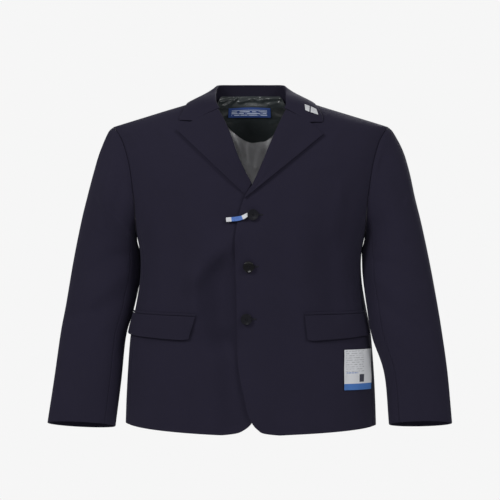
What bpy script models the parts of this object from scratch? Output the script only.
# A single-breasted three-button blazer, filled out with no wearer.
# Metres, +Z up.  The origin is where the garment rests on its wearer: between
# the two points where the shoulder seams meet the neck.  The front faces -Y,
# and +X is the wearer's left, which is the right-hand side seen from in front.

import math

import bmesh
import bpy
from mathutils import Vector

# Cloth walls and the gaps between pieces

CLOTH = 0.0016              # wool and its backing, one wall
LEAF = 0.0018               # lapels and collar leaf, two layers pressed flat
LINING = 0.0010             # satin lining
SEAM = 0.0003               # gap between two pieces that are sewn together
OVERLAP_LIFT = 0.0030       # how far the two fronts part where they overlap
OVERLAP_TOP_Z = -0.115      # they begin to part below this height
OVERLAP_REACH = 0.085       # and within this distance of the middle
OVERLAP_FADE = 0.050

# Body sections, top to bottom: at each height the body is a rounded oblong.
# Above the shoulder point the half width follows the straight shoulder slope.

SHOULDER_Z = -0.057
SHOULDER_HALF_WIDTH = 0.277
NECK_HALF_WIDTH = 0.090
SHOULDER_ROUND = 0.050      # how broadly chest and shoulder slope run into each other
SHOULDER_ROUND_FADE = 0.5   # less so towards the shoulder seam, where the form is tight
HEM_FRONT_Z = -0.6625
HEM_SIDE_Z = {1: -0.6490, -1: -0.6450}
HEM_BACK_Z = -0.6540
HEM_SIDE_BEARING = 85        # the front hem has reached the side height here

BODY = (
    # z, half width, depth in front, depth behind, squareness
    (0.000, 0.0900, 0.050, 0.078, 2.0),
    (-0.030, 0.1884, 0.070, 0.093, 2.0),
    (-0.057, 0.2770, 0.088, 0.105, 2.0),
    (-0.110, 0.2680, 0.112, 0.120, 2.3),
    (-0.176, 0.2560, 0.123, 0.127, 2.5),
    (-0.225, 0.2430, 0.125, 0.126, 2.5),
    (-0.272, 0.2280, 0.123, 0.121, 2.5),
    (-0.312, 0.2205, 0.119, 0.113, 2.5),
    (-0.362, 0.2215, 0.113, 0.104, 2.5),
    (-0.410, 0.2290, 0.108, 0.102, 2.6),
    (-0.460, 0.2385, 0.103, 0.104, 2.7),
    (-0.520, 0.2440, 0.099, 0.106, 2.8),
    (-0.600, 0.2485, 0.095, 0.106, 2.8),
    (-0.665, 0.2505, 0.092, 0.105, 2.8),
)

# Armhole, seen from the side: an egg between the shoulder point and the armpit

ARMPIT_Z = -0.272
ARMHOLE_FRONT = 0.066
ARMHOLE_BACK = 0.072
ARMHOLE_DROP = 0.12         # moves the widest point below the middle
RING = 24                   # points around the armhole and round each sleeve
SIDE_FROM = 9               # ring points between which the side panel hangs
SIDE_TO = 15

# Inner boundary of each front: neck, break line, front edge, rounded corner.
# The wearer's left front lies on top.  x is signed towards the wearer's left.

OVER_EDGE = (
    # z, x
    (-0.0003, 0.0885), (-0.0100, 0.0760), (-0.0258, 0.0684), (-0.0578, 0.0532),
    (-0.1000, 0.0352), (-0.1751, 0.0031), (-0.2001, -0.0123), (-0.2251, -0.0208),
    (-0.2732, -0.0304), (-0.3212, -0.0304), (-0.3980, -0.0286), (-0.4846, -0.0276),
    (-0.5240, -0.0257), (-0.5828, -0.0151), (-0.6392, 0.0023), (-0.6528, 0.0150),
    (-0.6600, 0.0300), (-0.6625, 0.0565),
)
UNDER_EDGE = (
    # z, x
    (-0.0003, -0.0885), (-0.0100, -0.0760), (-0.0237, -0.0645), (-0.0693, -0.0422),
    (-0.1190, -0.0247), (-0.1751, 0.0020), (-0.2000, 0.0150), (-0.2400, 0.0260),
    (-0.3200, 0.0290), (-0.5000, 0.0290), (-0.5600, 0.0250), (-0.6050, 0.0150),
    (-0.6392, 0.0023), (-0.6550, -0.0170), (-0.6605, -0.0330), (-0.6625, -0.0560),
)

# Lapels: the gorge point on the break line, the notch, the tip and the lower end

LAPELS = {
    # gorge z, notch x, notch z, tip x, tip z, low end of the break line z, low x, low z
    "left": (-0.0280, 0.1145, -0.0560, 0.1404, -0.0790, -0.2001, -0.0115, -0.2030),
    "right": (-0.0266, 0.1127, -0.0525, 0.1442, -0.0703, -0.1740, -0.0105, -0.1960),
}
NOTCH_AT = 0.62             # where along the gorge and lapel top the notch lies

# Collar, from the gorge round to the middle of the back.  The fold is given by
# its place; the outer edge by its bearing round the body and its height.

COLLAR = (
    # fold x, fold y, fold z, edge bearing, edge z
    (0.0623, -0.0640, -0.0232, 33.8, -0.0502),
    (0.0690, -0.0510, -0.0098, 43.2, -0.0321),
    (0.0708, -0.0260, 0.0045, 59.0, -0.0180),
    (0.0715, 0.0040, 0.0140, 86.0, -0.0085),
    (0.0700, 0.0340, 0.0250, 122.0, -0.0100),
    (0.0600, 0.0620, 0.0315, 145.6, -0.0130),
    (0.0340, 0.0790, 0.0345, 163.0, -0.0150),
    (0.0000, 0.0840, 0.0350, 180.0, -0.0160),
)
COLLAR_BULGE = (0.0055, 0.0025)     # how far the leaf bows: at the gorge, behind
COLLAR_OVER = (0.0045, 1.4, 0.0040)  # left end: fold further out, edge further
                            # forward in degrees, edge lower
COLLAR_OUT = 0.0042         # outer face of the leaf's edge, off the body
COLLAR_NOTCH_DIP = 0.0146   # the gorge runs below the leaf's straight end
NECK_BACK_Z = -0.0068       # neck seam at the middle of the back
NECK_TURN = 60              # degrees behind the shoulder seam over which it drops
STAND_WALL = 0.0014
STAND_END = 2.7             # collar station at which the stand begins
STAND_STEPS = 18
STAND_SIDE = 3              # station beside the shoulder seam
STAND_FRONT_Z = -0.0130     # foot of the stand's front end
STAND_SIDE_BEARING = 88
STAND_UNDER = (0.0012, 0.0014)      # clear of the leaf: inward, down

# Sleeves: outer and inner line of each, seen from in front, then how deep the
# sleeve is, how far forward it hangs, and how much lower its back is cut.

SLEEVES = {
    # outer x, outer z, inner x, inner z, half depth, forward, back drop
    "right": (
        (0.2770, -0.0570, 0.2280, -0.2720, 0.0660, 0.000, 0.000),
        (0.2865, -0.0680, 0.2283, -0.2745, 0.0680, 0.000, 0.000),
        (0.3030, -0.1080, 0.2278, -0.2810, 0.0690, 0.000, 0.000),
        (0.3148, -0.1490, 0.2268, -0.2900, 0.0680, 0.000, 0.000),
        (0.3268, -0.1920, 0.2238, -0.3020, 0.0660, -0.008, 0.000),
        (0.3398, -0.2420, 0.2218, -0.3180, 0.0630, -0.014, 0.000),
        (0.3558, -0.3200, 0.2218, -0.3520, 0.0580, -0.016, 0.000),
        (0.3706, -0.4120, 0.2350, -0.4240, 0.0510, -0.008, 0.001),
        (0.3800, -0.4660, 0.2492, -0.4740, 0.0470, 0.000, 0.003),
        (0.3920, -0.5560, 0.2580, -0.5620, 0.0410, 0.008, 0.006),
        (0.4054, -0.6465, 0.2694, -0.6530, 0.0360, 0.012, 0.009),
    ),
    "left": (
        (0.2770, -0.0570, 0.2280, -0.2720, 0.0660, 0.000, 0.000),
        (0.2865, -0.0680, 0.2283, -0.2745, 0.0680, 0.000, 0.000),
        (0.3050, -0.1040, 0.2278, -0.2810, 0.0690, 0.000, 0.000),
        (0.3180, -0.1490, 0.2268, -0.2900, 0.0680, 0.001, 0.000),
        (0.3275, -0.1960, 0.2252, -0.3020, 0.0660, 0.004, 0.000),
        (0.3400, -0.2500, 0.2240, -0.3200, 0.0630, 0.012, 0.000),
        (0.3545, -0.3250, 0.2236, -0.3550, 0.0580, 0.026, 0.000),
        (0.3672, -0.4040, 0.2284, -0.4140, 0.0510, 0.044, 0.001),
        (0.3765, -0.4660, 0.2382, -0.4730, 0.0460, 0.052, 0.003),
        (0.3868, -0.5440, 0.2620, -0.5440, 0.0400, 0.056, 0.006),
        (0.3955, -0.6425, 0.2710, -0.6445, 0.0360, 0.058, 0.009),
    ),
}
SLEEVE_ROWS = (0, 1, 2, 3, 4, 5, 6, 6.5, 7, 7.5, 8, 8.5, 9, 9.5, 10)
CAP_BLEND = 4.0             # stations over which the armhole's shape fades out
SLEEVE_RADIUS = 0.065       # near enough for the gap at its seams
FRONT_SEAM = 9              # ring points where top sleeve and under sleeve meet
BACK_SEAM = 16

# Folds: soft ridges (height above 0) and troughs, each along a short line seen
# from in front or from behind.

FOLDS = (
    # face, from x, from z, to x, to z, width, height
    ("front", -0.036, -0.285, -0.112, -0.355, 0.018, 0.0045),
    ("front", -0.110, -0.365, -0.108, -0.450, 0.016, 0.0040),
    ("front", -0.068, -0.350, -0.062, -0.480, 0.024, -0.0060),
    ("front", 0.095, -0.240, 0.110, -0.390, 0.026, 0.0020),
    ("front", 0.150, -0.300, 0.165, -0.420, 0.022, -0.0025),
    ("front", -0.165, -0.210, -0.160, -0.300, 0.024, -0.0025),
    ("back", 0.105, -0.200, 0.080, -0.400, 0.026, -0.0040),
    ("back", -0.100, -0.220, -0.085, -0.380, 0.026, -0.0035),
    ("back", 0.000, -0.330, 0.000, -0.420, 0.030, -0.0025),
)

# Pockets: corners of each flap's front end, and the rear end's bearing

FLAPS = {
    # top x, top z, low x, low z, rear bearing, rear top z, rear low z
    "left": (0.1034, -0.4282, 0.1097, -0.4786, 72.0, -0.4262, -0.4690),
    "right": (0.1060, -0.4305, 0.1208, -0.4774, 86.0, -0.4255, -0.4670),
}
FLAP_CLEAR = 0.0009         # the flap's top edge stands this far off the front
FLAP_WALL = 0.0020
FLAP_FLARE = 0.0014         # its lower edge stands off this much more
FLAP_HEIGHT = 0.047
JET_HEIGHT = 0.0050
JET_WALL = 0.0012

# Buttons and small trim

BUTTON_RADIUS = 0.0108
BUTTON_WELL_RADIUS = 0.0062
BUTTON_RIM_RADIUS = 0.0078
BUTTON_THICK = 0.0036
BUTTON_STEM = 0.0022        # thread stem under the button
BUTTON_STEM_RADIUS = 0.0024
BUTTONS = {"top": (0.0042, -0.2342), "middle": (-0.0042, -0.3337), "low": (-0.0087, -0.4353)}

TAPE = {"left": -0.0476, "right": -0.0060, "left_z": -0.2425, "right_z": -0.2300,
        "height": 0.0088, "wall": 0.0008}
TAPE_CLEAR = 0.0007
PATCH = {"left": 0.1813, "right": 0.2360, "top": -0.4965, "low": -0.5756, "wall": 0.0007}
PATCH_CLEAR = 0.0012
COLLAR_PATCH = {"from": 6.15, "to": 5.35, "high": 0.62, "low": 0.90, "wall": 0.0005}
NECK_LABEL = {"left": -0.0477, "right": 0.0425, "top": -0.0090, "low": -0.0290,
              "wall": 0.0007}
YOKE_HALF_WIDTH = 0.085
YOKE_MIDDLE_Z = -0.080
YOKE_END_Z = -0.020
YOKE_TOP_Z = 0.0155
YOKE_SHOULDER_Z = -0.0120   # its top at the ends
YOKE_BEND = (0.038, 0.030)  # where its top begins to fall, and over what width
LINING_LOW_Z = -0.635
LINING_HALF_WIDTH = (0.160, 0.190)  # at its top, and lower down
LINING_SHOULDER_Z = -0.040
LINING_TUCK = 0.006         # the lining's top runs up behind the yoke

COLOURS = {
    "wool": ((0.016, 0.015, 0.026), 0.85),
    "satin": ((0.070, 0.070, 0.076), 0.45),
    "yoke": ((0.012, 0.016, 0.015), 0.60),
    "button": ((0.010, 0.010, 0.012), 0.25),
    "label_blue": ((0.050, 0.180, 0.500), 0.60),
    "label_white": ((0.780, 0.790, 0.800), 0.60),
}


def along(table, key, column):
    """Smooth value of one column of a table whose first column is the key."""
    rows = table if table[0][0] < table[-1][0] else table[::-1]
    last = len(rows) - 1
    i = 0
    while i < last - 1 and key > rows[i + 1][0]:
        i += 1
    k0, k1 = rows[i][0], rows[i + 1][0]
    v0, v1 = rows[i][column], rows[i + 1][column]
    slope = (v1 - v0) / (k1 - k0)
    before = (v0 - rows[i - 1][column]) / (k0 - rows[i - 1][0]) if i > 0 else slope
    after = (rows[i + 2][column] - v1) / (rows[i + 2][0] - k1) if i + 2 <= last else slope
    m0 = 0.5 * (before + slope)
    m1 = 0.5 * (slope + after)
    width = k1 - k0
    t = min(max((key - k0) / width, 0.0), 1.0)
    return ((2 * t ** 3 - 3 * t ** 2 + 1) * v0 + (t ** 3 - 2 * t ** 2 + t) * width * m0
            + (3 * t ** 2 - 2 * t ** 3) * v1 + (t ** 3 - t ** 2) * width * m1)


def at_station(rows, s, column):
    """Smooth value of one column at a station number, counted along the rows."""
    last = len(rows) - 1
    i = min(int(math.floor(s)), last - 1)
    t = s - i
    v0, v1 = rows[i][column], rows[i + 1][column]
    m0 = 0.5 * (v1 - rows[i - 1][column]) if i > 0 else v1 - v0
    m1 = 0.5 * (rows[i + 2][column] - v0) if i + 2 <= last else v1 - v0
    return ((2 * t ** 3 - 3 * t ** 2 + 1) * v0 + (t ** 3 - 2 * t ** 2 + t) * m0
            + (3 * t ** 2 - 2 * t ** 3) * v1 + (t ** 3 - t ** 2) * m1)


def mix(a, b, t):
    return a + (b - a) * t


def ease(t):
    t = min(max(t, 0.0), 1.0)
    return t * t * (3 - 2 * t)


# The body's form

BELOW_SHOULDER = BODY[2:]


def half_width(z):
    if z > SHOULDER_Z:
        return mix(SHOULDER_HALF_WIDTH, NECK_HALF_WIDTH, (z - SHOULDER_Z) / -SHOULDER_Z)
    return along(BELOW_SHOULDER, z, 1)


def shoulder_cut(z):
    """How much the rounding takes off the half width near the shoulder's height."""
    steep = (SHOULDER_HALF_WIDTH - NECK_HALF_WIDTH) / -SHOULDER_Z
    near = max(SHOULDER_ROUND - steep * abs(z - SHOULDER_Z), 0.0) / SHOULDER_ROUND
    return near * near * SHOULDER_ROUND / 4


def depth(z, front):
    return along(BODY, z, 2 if front else 3)


def squareness(z):
    return along(BODY, z, 4)


def fold_height(front, x, z):
    """How far the cloth stands out, from all the folds near a point."""
    total = 0.0
    for face, x0, z0, x1, z1, width, height in FOLDS:
        if (face == "front") != front:
            continue
        dx, dz = x1 - x0, z1 - z0
        t = ((x - x0) * dx + (z - z0) * dz) / (dx * dx + dz * dz)
        t = min(max(t, 0.0), 1.0)
        away = math.hypot(x - x0 - t * dx, z - z0 - t * dz)
        total += height * math.exp(-(away / width) ** 2)
    return total


def bare_form(bearing, z):
    """Point of the smooth body: bearing 0 is the front, 90 the wearer's left."""
    angle = math.radians(bearing)
    power = 2.0 / squareness(z)
    s, c = math.sin(angle), math.cos(angle)
    width = half_width(z) - shoulder_cut(z) * ease(abs(c) / SHOULDER_ROUND_FADE)
    x = math.copysign(width * abs(s) ** power, s)
    y = -depth(z, True) * c ** power if c > 0 else depth(z, False) * (-c) ** power
    return Vector((x, y, z))


def form_normal(bearing, z):
    turn, rise = 0.05, 0.0004
    around = bare_form(bearing + turn, z) - bare_form(bearing - turn, z)
    up = bare_form(bearing, z + rise) - bare_form(bearing, z - rise)
    return around.cross(up).normalized()


def form(bearing, z, out=0.0):
    """Point of the body, folds and all, moved out along its normal."""
    point = bare_form(bearing, z)
    front = math.cos(math.radians(bearing)) > 0
    fade = min(1.0, 3.0 * abs(math.cos(math.radians(bearing))))
    out += fold_height(front, point.x, z) * fade
    return point + form_normal(bearing, z) * out


def bearing_of(x, z, front=True):
    """Bearing at which the body's section has this x."""
    width = half_width(z) - shoulder_cut(z)
    ratio = min(abs(x) / width, 1.0) ** (squareness(z) / 2)
    angle = math.degrees(math.asin(ratio))
    return math.copysign(angle if front else 180 - angle, x)


def flat_form(x, z):
    """Point of the smooth front at this x and z."""
    return bare_form(bearing_of(x, z), z)


def lift(side, x, z):
    """The fronts part by a few millimetres where one lies over the other."""
    low = ease((OVERLAP_TOP_Z - z) / OVERLAP_FADE)
    inner = ease((OVERLAP_REACH - side * x) / OVERLAP_FADE)
    return side * OVERLAP_LIFT * low * inner


def front_point(side, bearing, z, out=0.0):
    x = bare_form(bearing, z).x
    return form(bearing, z, out + lift(side, x, z))


def hem_z(bearing):
    b = abs(bearing)
    side_z = HEM_SIDE_Z[1 if bearing > 0 else -1]
    if b < 90:
        return mix(HEM_FRONT_Z, side_z, ease(b / HEM_SIDE_BEARING))
    return mix(side_z, HEM_BACK_Z, ease((b - 90) / 90))


def neck_z(bearing):
    """Height of the neck seam, from the shoulder seam round to the back."""
    return mix(-SEAM, NECK_BACK_Z, ease((abs(bearing) - 90) / NECK_TURN))


# Armhole

def armhole(side, k):
    """Point, bearing and height of the armhole's ring; 0 is the shoulder point."""
    turn = 2 * math.pi * k / RING
    middle = (SHOULDER_Z + ARMPIT_Z) / 2
    z = middle + (SHOULDER_Z - ARMPIT_Z) / 2 * math.cos(turn)
    reach = math.sin(turn) * (1 - ARMHOLE_DROP * math.cos(turn))
    front = reach >= 0
    y = abs(reach) * (ARMHOLE_FRONT if front else ARMHOLE_BACK)
    ratio = (y / depth(z, front)) ** (squareness(z) / 2)
    bearing = math.degrees(math.acos(min(ratio, 1.0)))
    bearing = side * (bearing if front else 180 - bearing)
    return form(bearing, z), bearing, z


def rim_direction(side, k, sleeve):
    """Which way the wall's thickness goes at the armhole, so both walls clear."""
    turn = 2 * math.pi * k / RING
    low = (1 - math.cos(turn)) / 2
    inward = mix(0.60, -0.75, low) if sleeve else mix(0.55, 0.80, low)
    rise = mix(0.84, 0.60, low)
    return Vector((-side * inward, math.sin(turn) * 0.85, -math.cos(turn) * rise)).normalized()


# Making a wall: a flat grid is thickened by extruding it, and both of its
# faces are then laid on the surface that the piece follows.

parts = bpy.data.collections.new("blazer")
materials = {}


def material(name):
    if name not in materials:
        colour, rough = COLOURS[name]
        made = bpy.data.materials.new(name)
        made.use_nodes = True
        shader = made.node_tree.nodes["Principled BSDF"]
        shader.inputs["Base Color"].default_value = (*colour, 1)
        shader.inputs["Roughness"].default_value = rough
        shader.inputs["Metallic"].default_value = 0.0
        materials[name] = made
    return materials[name]


def add_object(name, mesh, finish):
    mesh.materials.append(material(finish))
    made = bpy.data.objects.new(name, mesh)
    parts.objects.link(made)
    return made


def face_outwards(bm):
    bmesh.ops.recalc_face_normals(bm, faces=bm.faces)
    if bm.calc_volume(signed=True) < 0:
        bmesh.ops.reverse_faces(bm, faces=bm.faces)


def wall(name, finish, columns, rows, place):
    """place(c, r) gives the outer and the inner point of a column and row."""
    bm = bmesh.new()
    bmesh.ops.create_grid(bm, x_segments=columns, y_segments=rows, size=0.5)
    inner = list(bm.verts)
    spots = [(round((v.co.x + 0.5) * columns), round((v.co.y + 0.5) * rows)) for v in inner]
    grown = bmesh.ops.extrude_face_region(bm, geom=list(bm.faces), use_keep_orig=True)
    outer = {}
    for v in grown["geom"]:
        if isinstance(v, bmesh.types.BMVert):
            spot = (round((v.co.x + 0.5) * columns), round((v.co.y + 0.5) * rows))
            outer[spot] = v
    for v, spot in zip(inner, spots):
        outside, inside = place(*spot)
        v.co = inside
        outer[spot].co = outside
    face_outwards(bm)
    mesh = bpy.data.meshes.new(name)
    bm.to_mesh(mesh)
    bm.free()
    mesh.shade_smooth()
    mesh.set_sharp_from_angle(angle=math.radians(50))
    return add_object(name, mesh, finish)


# Fronts

FRONT_COLUMNS = 12
ABOVE_SHOULDER = (-SEAM, -0.0120, -0.0250, -0.0400)
ARMHOLE_ROWS = SIDE_FROM + 1
LOW_ROWS = 14
LOW_CROWDING = 1.7


def low_share(r):
    """Rows below the armhole crowd together towards the rounded corner."""
    return 1 - (1 - r) ** LOW_CROWDING


def edge_x(side, z):
    return along(OVER_EDGE if side > 0 else UNDER_EDGE, z, 1)


def build_front(name, side):
    rows = len(ABOVE_SHOULDER) + ARMHOLE_ROWS + LOW_ROWS - 1
    first_low = len(ABOVE_SHOULDER) + ARMHOLE_ROWS
    _, seam_bearing, seam_z = armhole(side, SIDE_FROM)

    def place(c, r):
        share = c / FRONT_COLUMNS
        on_armhole = False
        if r < len(ABOVE_SHOULDER):
            z_in = z_out = ABOVE_SHOULDER[r]
            outer_bearing = side * 90
        elif r < first_low:
            k = r - len(ABOVE_SHOULDER)
            _, outer_bearing, z_out = armhole(side, k)
            z_in = z_out
            on_armhole = c == FRONT_COLUMNS
        else:
            s = low_share((r - first_low + 1) / LOW_ROWS)
            z_in = mix(seam_z, HEM_FRONT_Z, s)
            z_out = mix(seam_z, hem_z(seam_bearing), s)
            outer_bearing = seam_bearing
        inner_bearing = bearing_of(edge_x(side, z_in), z_in)
        bearing = mix(inner_bearing, outer_bearing, share)
        z = mix(z_in, z_out, share)
        if c == FRONT_COLUMNS:
            bearing -= side * math.degrees(SEAM / 2 / half_width(z))
        outside = front_point(side, bearing, z)
        if on_armhole:
            return outside, outside + rim_direction(side, k, False) * CLOTH
        return outside, front_point(side, bearing, z, -CLOTH)

    return wall(name, "wool", FRONT_COLUMNS, rows, place)


# Backs: the top row is the neck seam, the sides end at the shoulder seam, the
# armhole and the side panel, and the two meet at the middle of the back.

BACK_COLUMNS = 9


def build_back(name, side):
    rows = len(ABOVE_SHOULDER) + ARMHOLE_ROWS + LOW_ROWS - 1
    first_low = len(ABOVE_SHOULDER) + ARMHOLE_ROWS
    _, seam_bearing, seam_z = armhole(side, SIDE_TO)

    def place(c, r):
        share = c / BACK_COLUMNS
        on_armhole = False
        if r < len(ABOVE_SHOULDER):
            z_out = ABOVE_SHOULDER[r]
            outer_bearing = side * 90
        elif r < first_low:
            k = RING - (r - len(ABOVE_SHOULDER))
            _, outer_bearing, z_out = armhole(side, k)
            on_armhole = c == BACK_COLUMNS
        else:
            s = low_share((r - first_low + 1) / LOW_ROWS)
            z_out = mix(seam_z, hem_z(seam_bearing), s)
            outer_bearing = seam_bearing
        bearing = mix(side * 180, outer_bearing, share)
        if r < len(ABOVE_SHOULDER):
            z = mix(min(z_out, NECK_BACK_Z - (ABOVE_SHOULDER[0] - z_out)), z_out,
                    ease(share * 1.5))
        elif r >= first_low:
            z = mix(seam_z, hem_z(bearing), s)
        else:
            z = z_out
        if r == 0:
            z = neck_z(bearing)
        gap = math.degrees(SEAM / 2 / half_width(z))
        if c == BACK_COLUMNS:
            bearing += side * gap
        if c == 0:
            bearing = side * abs(bearing_of(SEAM / 2, z, front=False))
        outside = form(bearing, z)
        if on_armhole:
            return outside, outside + rim_direction(side, k, False) * CLOTH
        return outside, form(bearing, z, -CLOTH)

    return wall(name, "wool", BACK_COLUMNS, rows, place)


def build_side(name, side):
    columns = SIDE_TO - SIDE_FROM
    _, front_bearing, _ = armhole(side, SIDE_FROM)
    _, back_bearing, _ = armhole(side, SIDE_TO)

    def place(c, r):
        _, top_bearing, top_z = armhole(side, SIDE_FROM + c)
        even = mix(front_bearing, back_bearing, c / columns)
        s = low_share(r / LOW_ROWS)
        bearing = mix(top_bearing, even, ease(s * 3))
        z = mix(top_z, hem_z(bearing), s)
        gap = math.degrees(SEAM / 2 / half_width(z))
        if c == 0:
            bearing += side * gap
        if c == columns:
            bearing -= side * gap
        outside = form(bearing, z)
        if r == 0:
            return outside, outside + rim_direction(side, SIDE_FROM + c, False) * CLOTH
        return outside, form(bearing, z, -CLOTH)

    return wall(name, "wool", columns, LOW_ROWS, place)


# Sleeves

def sleeve_bare(side, station, k):
    rows = SLEEVES["left" if side > 0 else "right"]
    turn = 2 * math.pi * k / RING
    ox, oz, ix, iz, deep, forward, drop = [at_station(rows, station, i) for i in range(7)]
    ripple = math.cos(turn)
    x = mix(ix, ox, (1 + ripple) / 2)
    z = mix(iz, oz, (1 + ripple) / 2) + drop * math.sin(turn)
    y = -forward - deep * math.sin(turn)
    point = Vector((side * x, y, z))
    if station < CAP_BLEND:
        first = rows[0]
        plain = Vector((side * mix(first[2], first[0], (1 + ripple) / 2),
                        -first[4] * math.sin(turn),
                        mix(first[3], first[1], (1 + ripple) / 2)))
        point += (armhole(side, k)[0] - plain) * (1 - ease(station / CAP_BLEND))
    return point


def sleeve_normal(side, station, k):
    low, high = max(station - 0.05, 0.0), min(station + 0.05, 10.0)
    down = sleeve_bare(side, high, k) - sleeve_bare(side, low, k)
    around = sleeve_bare(side, station, k + 0.1) - sleeve_bare(side, station, k - 0.1)
    return around.cross(down).normalized() * side


def sleeve_point(side, station, k, out=0.0):
    return sleeve_bare(side, station, k) + sleeve_normal(side, station, k) * out


def build_sleeve_panel(name, side, first, last):
    columns = last - first

    def place(c, r):
        station = SLEEVE_ROWS[r]
        k = first + c
        nudge = SEAM / 2 / SLEEVE_RADIUS * RING / (2 * math.pi)
        spot = k + (nudge if c == 0 else -nudge if c == columns else 0)
        if r == 0:
            outside = sleeve_bare(side, 0, spot) + Vector((side * SEAM, 0, 0))
            return outside, outside + rim_direction(side, k, True) * CLOTH
        return sleeve_point(side, station, spot), sleeve_point(side, station, spot, -CLOTH)

    return wall(name, "wool", columns, len(SLEEVE_ROWS) - 1, place)


# Lapels: each lies on its front, from the break line to the straight outer edge

LAPEL_SHARES = (0, 0.16, 0.36, NOTCH_AT, 0.8, 1.0)
LAPEL_ROWS = 10
LAPEL_UNDER = 0.0006        # clear of the front that it lies on
LAPEL_ROLL = 0.0016         # it bows out this much between its edges


def lapel_spot(side, s, t):
    """Place of a lapel point seen from in front; t 0 is the lower end."""
    values = LAPELS["left" if side > 0 else "right"]
    gorge_z, notch_x, notch_z, tip_x, tip_z, low_break_z, low_x, low_z = values
    z_in = mix(low_break_z, gorge_z, t)
    x_in = edge_x(side, z_in)
    x_out = mix(low_x, side * tip_x, t)
    z_out = mix(low_z, tip_z, t)
    x, z = mix(x_in, x_out, s), mix(z_in, z_out, s)
    straight_x = mix(edge_x(side, gorge_z), side * tip_x, NOTCH_AT)
    straight_z = mix(gorge_z, tip_z, NOTCH_AT)
    hat = s / NOTCH_AT if s < NOTCH_AT else (1 - s) / (1 - NOTCH_AT)
    near_top = t ** 6
    x += (side * notch_x - straight_x) * hat * near_top
    z += (notch_z - straight_z) * hat * near_top
    return x, z


def build_lapel(name, side):

    def place(c, r):
        x, z = lapel_spot(side, LAPEL_SHARES[c], r / LAPEL_ROWS)
        bearing = bearing_of(x, z)
        roll = LAPEL_UNDER + LAPEL_ROLL * math.sin(math.pi * LAPEL_SHARES[c])
        return (front_point(side, bearing, z, roll + LEAF),
                front_point(side, bearing, z, roll))

    return wall(name, "wool", len(LAPEL_SHARES) - 1, LAPEL_ROWS, place)


# Collar

COLLAR_HALF = 7.0
COLLAR_AXIS_Y = 0.02        # the middle of the neck opening
COLLAR_STEPS = 28
LEAF_SHARES = (0, 0.31, NOTCH_AT, 0.81, 1.0)


def collar_leaf(t, s, out=0.0):
    """t runs from -7 at the wearer's right gorge to 7 at the left; s from fold to edge."""
    return collar_bare(t, s) + collar_normal(t, s) * out


def collar_bare(t, s):
    side = 1 if t > 0 else -1
    station = COLLAR_HALF - abs(t)
    fx, fy, fz, bearing, edge_z = [at_station(COLLAR, station, i) for i in range(5)]
    fold = Vector((side * fx, fy, fz))
    near_gorge = 1 - ease(station / 2.5)
    if side > 0:
        shift, turn, drop = COLLAR_OVER
        fold.x += shift * near_gorge ** 2
        bearing -= turn * near_gorge
        edge_z -= drop * near_gorge
    edge = bare_form(side * bearing, edge_z) + form_normal(side * bearing, edge_z) * COLLAR_OUT
    point = fold.lerp(edge, s)
    outward = form_normal(side * bearing, edge_z)
    point += outward * mix(*COLLAR_BULGE, ease((station - 1) / 2)) * 4 * s * (1 - s)
    hat = s / NOTCH_AT if s < NOTCH_AT else (1 - s) / (1 - NOTCH_AT)
    dip = COLLAR_NOTCH_DIP * hat * max(0.0, 1 - station) ** 2
    if dip > 0:
        point += flat_form(point.x, point.z - dip) - flat_form(point.x, point.z)
    return point


def collar_normal(t, s):
    t0, t1 = max(t - 0.02, -COLLAR_HALF), min(t + 0.02, COLLAR_HALF)
    s0, s1 = max(s - 0.02, 0.0), min(s + 0.02, 1.0)
    along_edge = collar_bare(t1, s) - collar_bare(t0, s)
    across = collar_bare(t, s1) - collar_bare(t, s0)
    return along_edge.cross(across).normalized()


def build_collar_leaf():

    def place(c, r):
        t = mix(-COLLAR_HALF, COLLAR_HALF, c / COLLAR_STEPS)
        s = LEAF_SHARES[r]
        return collar_leaf(t, s), collar_leaf(t, s, -LEAF)

    return wall("collar_leaf", "wool", COLLAR_STEPS, len(LEAF_SHARES) - 1, place)


def build_collar_stand():
    reach = COLLAR_HALF - STAND_END

    def place(c, r):
        t = mix(-reach, reach, c / STAND_STEPS)
        side = 1 if t > 0 else -1
        station = COLLAR_HALF - abs(t)
        fold = collar_bare(t, 0)
        inward = (Vector((0, COLLAR_AXIS_Y, fold.z)) - fold).normalized()
        top = fold + inward * (LEAF + STAND_UNDER[0]) - Vector((0, 0, STAND_UNDER[1]))
        if station < STAND_SIDE:
            low_z = mix(STAND_FRONT_Z, -SEAM, ease(station / STAND_SIDE))
            bearing = bearing_of(abs(edge_x(side, low_z)), low_z)
        else:
            behind = (station - STAND_SIDE) / (COLLAR_HALF - STAND_SIDE)
            bearing = mix(STAND_SIDE_BEARING, 180, behind)
            low_z = neck_z(bearing)
        low = bare_form(side * bearing, low_z) + Vector((0, 0, SEAM))
        outside = low.lerp(top, r / 2)
        return outside, outside + inward * STAND_WALL

    return wall("collar_stand", "wool", STAND_STEPS, 2, place)


# Pocket flaps and the jetting above them

def flap_point(side, a, b, out):
    """a runs from the front end to the rear end, b from the top edge down."""
    values = FLAPS["left" if side > 0 else "right"]
    top_x, top_z, low_x, low_z, rear_bearing, rear_top_z, rear_low_z = values
    front_x = mix(top_x, low_x, b)
    z = mix(mix(top_z, low_z, b), mix(rear_top_z, rear_low_z, b), a)
    bearing = mix(bearing_of(front_x, z), rear_bearing, a)
    return front_point(side, side * bearing, z, out)


def build_flap(name, side):
    columns, rows = 10, 3

    def place(c, r):
        stand_off = FLAP_CLEAR + FLAP_FLARE * (r / rows)
        return (flap_point(side, c / columns, r / rows, stand_off + FLAP_WALL),
                flap_point(side, c / columns, r / rows, stand_off))

    return wall(name, "wool", columns, rows, place)


def build_jetting(name, side):
    columns = 10

    def place(c, r):
        b = -(SEAM + JET_HEIGHT * r) / FLAP_HEIGHT
        return (flap_point(side, c / columns, b, FLAP_CLEAR + JET_WALL),
                flap_point(side, c / columns, b, FLAP_CLEAR))

    return wall(name, "wool", columns, 1, place)


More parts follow.
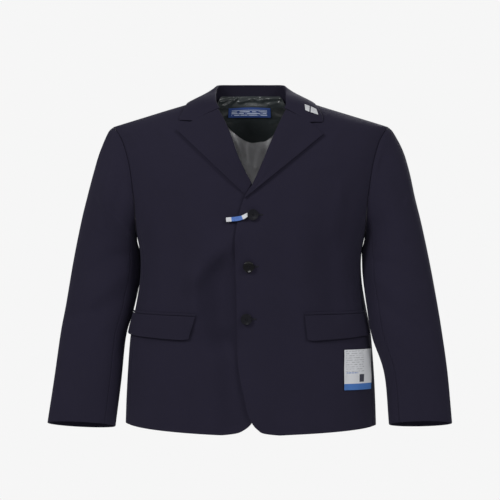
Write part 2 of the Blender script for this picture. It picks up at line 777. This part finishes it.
# Buttons: a turned disc with a raised rim, on a short stem of thread

def build_button(name, x, z):
    profile = (
        (0.0, BUTTON_THICK * 0.62), (BUTTON_WELL_RADIUS, BUTTON_THICK * 0.62),
        (BUTTON_RIM_RADIUS, BUTTON_THICK),
        (BUTTON_RADIUS * 0.93, BUTTON_THICK * 0.95), (BUTTON_RADIUS, BUTTON_THICK * 0.62),
        (BUTTON_RADIUS * 0.94, BUTTON_THICK * 0.2), (BUTTON_RADIUS * 0.8, 0.0),
        (BUTTON_STEM_RADIUS, 0.0), (BUTTON_STEM_RADIUS, -BUTTON_STEM), (0.0, -BUTTON_STEM),
    )
    bm = bmesh.new()
    corners = [bm.verts.new((radius, 0, height)) for radius, height in profile]
    for first, second in zip(corners, corners[1:]):
        bm.edges.new((first, second))
    bmesh.ops.spin(bm, geom=bm.verts[:] + bm.edges[:], cent=(0, 0, 0), axis=(0, 0, 1),
                   angle=2 * math.pi, steps=18, use_merge=True)
    bmesh.ops.remove_doubles(bm, verts=bm.verts, dist=0.00005)
    face_outwards(bm)
    mesh = bpy.data.meshes.new(name)
    bm.to_mesh(mesh)
    bm.free()
    mesh.shade_smooth()
    mesh.set_sharp_from_angle(angle=math.radians(40))
    made = add_object(name, mesh, "button")
    bearing = bearing_of(x, z)
    normal = form_normal(bearing, z)
    made.location = front_point(1, bearing, z, BUTTON_STEM + SEAM)
    made.rotation_euler = normal.to_track_quat("Z", "Y").to_euler()
    return made


# Labels and trim, each made from the points that it lies on

def build_tape():
    columns = 6

    def place(c, r):
        a = c / columns
        x = mix(TAPE["left"], TAPE["right"], a)
        z = mix(TAPE["left_z"], TAPE["right_z"], a) + TAPE["height"] * (0.5 - r)
        bearing = bearing_of(x, z)
        out = OVERLAP_LIFT + TAPE_CLEAR
        return form(bearing, z, out + TAPE["wall"]), form(bearing, z, out)

    return wall("tape_label", "label_blue", columns, 1, place)


def build_patch():
    columns, rows = 6, 5

    def place(c, r):
        x = mix(PATCH["left"], PATCH["right"], c / columns)
        z = mix(PATCH["low"], PATCH["top"], r / rows)
        bearing = bearing_of(x, z)
        return (front_point(1, bearing, z, PATCH_CLEAR + PATCH["wall"]),
                front_point(1, bearing, z, PATCH_CLEAR))

    return wall("patch_label", "label_white", columns, rows, place)


def build_collar_patch():

    def place(c, r):
        t = mix(COLLAR_PATCH["from"], COLLAR_PATCH["to"], c / 3)
        s = mix(COLLAR_PATCH["high"], COLLAR_PATCH["low"], r / 2)
        return collar_leaf(t, s, SEAM + COLLAR_PATCH["wall"]), collar_leaf(t, s, SEAM)

    return wall("collar_patch", "label_white", 3, 2, place)


# Lining, only where the neck opening shows it

LINING_OUT = -CLOTH - 0.0026
YOKE_OUT = LINING_OUT - LINING - 0.0014
LABEL_OUT = YOKE_OUT - LINING - 0.0010
STAND_LEAN = 0.02           # the stand leans forward this much for each metre up


def yoke_low_z(x):
    return mix(YOKE_MIDDLE_Z, YOKE_END_Z, min(abs(x) / YOKE_HALF_WIDTH, 1.0) ** 2)


def inside_back(x, z, out):
    """Point inside the back at x and z; above the neck seam it goes straight up."""
    level = min(z, NECK_BACK_Z)
    point = form(bearing_of(x, level, front=False), level, out)
    return point + Vector((0, -STAND_LEAN, 1)) * (z - level)


def build_yoke():
    columns, rows = 10, 6

    def place(c, r):
        x = mix(-YOKE_HALF_WIDTH, YOKE_HALF_WIDTH, c / columns)
        fall = ease((abs(x) - YOKE_BEND[0]) / YOKE_BEND[1])
        top = mix(YOKE_TOP_Z, YOKE_SHOULDER_Z, fall)
        z = mix(top, yoke_low_z(x), r / rows)
        return inside_back(x, z, YOKE_OUT), inside_back(x, z, YOKE_OUT - LINING)

    return wall("yoke_lining", "yoke", columns, rows, place)


def build_back_lining():
    columns, rows = 14, 16
    top_half, low_half = LINING_HALF_WIDTH

    def place(c, r):
        across = 2 * c / columns - 1
        down = (r / rows) ** 1.4
        x_top = across * top_half
        if abs(x_top) < YOKE_HALF_WIDTH:
            z_top = yoke_low_z(x_top) + LINING_TUCK
        else:
            past = (abs(x_top) - YOKE_HALF_WIDTH) / (top_half - YOKE_HALF_WIDTH)
            z_top = mix(YOKE_END_Z, LINING_SHOULDER_Z, past)
        x = across * mix(top_half, low_half, ease(down * 1.5))
        z = mix(z_top, LINING_LOW_Z, down)
        return inside_back(x, z, LINING_OUT), inside_back(x, z, LINING_OUT - LINING)

    return wall("back_lining", "satin", columns, rows, place)


def build_neck_label():
    columns = 4

    def place(c, r):
        x = mix(NECK_LABEL["left"], NECK_LABEL["right"], c / columns)
        z = mix(NECK_LABEL["low"], NECK_LABEL["top"], r)
        return (inside_back(x, z, LABEL_OUT),
                inside_back(x, z, LABEL_OUT - NECK_LABEL["wall"]))

    return wall("neck_label", "label_blue", columns, 1, place)


def main():
    for leftover in list(bpy.data.objects):
        bpy.data.objects.remove(leftover)
    bpy.context.scene.collection.children.link(parts)
    for word, side in (("left", 1), ("right", -1)):
        build_front("front_" + word, side)
        build_side("side_" + word, side)
        build_back("back_" + word, side)
        build_sleeve_panel("top_sleeve_" + word, side, BACK_SEAM - RING, FRONT_SEAM)
        build_sleeve_panel("under_sleeve_" + word, side, FRONT_SEAM, BACK_SEAM)
        build_lapel("lapel_" + word, side)
        build_flap("flap_" + word, side)
        build_jetting("jetting_" + word, side)
    build_collar_leaf()
    build_collar_stand()
    for word, (x, z) in BUTTONS.items():
        build_button("button_" + word, x, z)
    build_tape()
    build_patch()
    build_collar_patch()
    build_yoke()
    build_back_lining()
    build_neck_label()


main()
